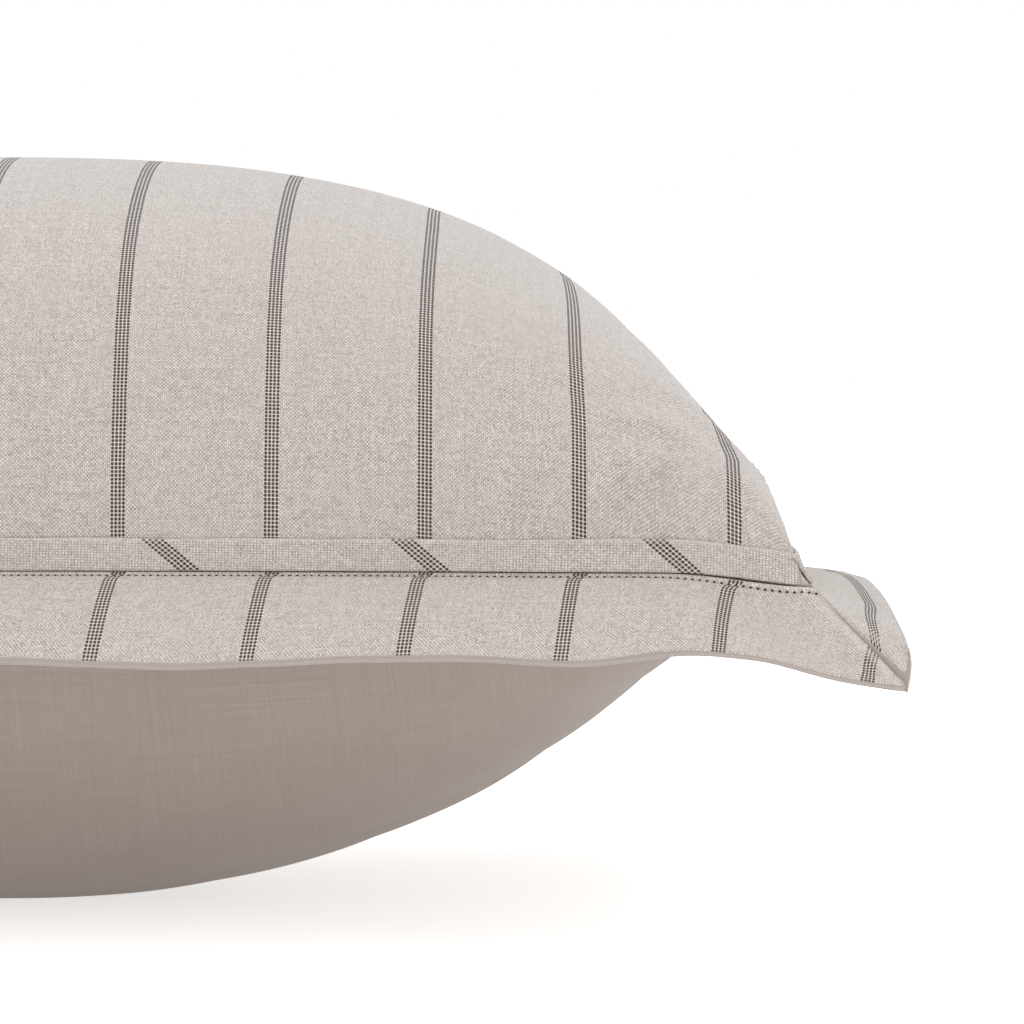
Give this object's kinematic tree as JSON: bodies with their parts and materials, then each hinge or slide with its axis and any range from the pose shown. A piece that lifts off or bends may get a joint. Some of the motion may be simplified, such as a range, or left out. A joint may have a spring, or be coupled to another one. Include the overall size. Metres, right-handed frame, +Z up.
{
  "type": "throw pillow",
  "caption": "Square throw pillow with a plump zipped cover, a folded inner band, a mitred flange round the edge and a sewn insert.",
  "frame": {"origin": "middle of the patch on which the pillow rests, at the bottom of the back panel", "axes": "+Z up out of the front panel's crown; +Y towards the side that holds the zip; +X along the zip, the way the slider opens"},
  "size_m": [0.574, 0.574, 0.2405],
  "materials": {
    "striped_linen": "matte",
    "plain_backing": "matte",
    "thread": "matte",
    "label_cloth": "satin",
    "casing_cloth": "matte",
    "fibre_filling": "matte",
    "zip_tape_cloth": "matte",
    "zip_nylon": "satin",
    "zip_metal": "satin"
  },
  "bodies": {
    "cushion": {"front_panel": "striped_linen", "inner_band_front": "striped_linen", "inner_band_right": "striped_linen", "inner_band_back": "striped_linen", "inner_band_left": "striped_linen", "flange_front": "striped_linen", "flange_right": "striped_linen", "flange_back": "striped_linen", "flange_left": "striped_linen", "back_panel_main": "plain_backing", "back_panel_zip_facing": "plain_backing", "topstitching": "thread", "care_label": "label_cloth", "insert_case_top": "casing_cloth", "insert_case_bottom": "casing_cloth", "insert_filling": "fibre_filling", "zip_tape_main": "zip_tape_cloth", "zip_tape_facing": "zip_tape_cloth", "zip_coil_main": "zip_nylon", "zip_coil_facing": "zip_nylon", "zip_top_stops": "zip_metal", "zip_bottom_stop": "zip_metal", "zip_stitching": "thread"},
    "slider": {"zip_slider": "zip_metal"},
    "pull_tab": {"zip_pull_tab": "zip_metal"}
  },
  "joints": [
    {"name": "zip_slide", "type": "slide", "parent": "cushion", "child": "slider", "axis": [1, 0, 0], "range_m": [0, 0.34]},
    {"name": "pull_tab_hinge", "type": "hinge", "parent": "slider", "child": "pull_tab", "pos_m": [-0.17, 0.21131, 0.07548], "axis": [0, 0.5892, 0.808], "range_deg": [0, 165]}
  ]
}
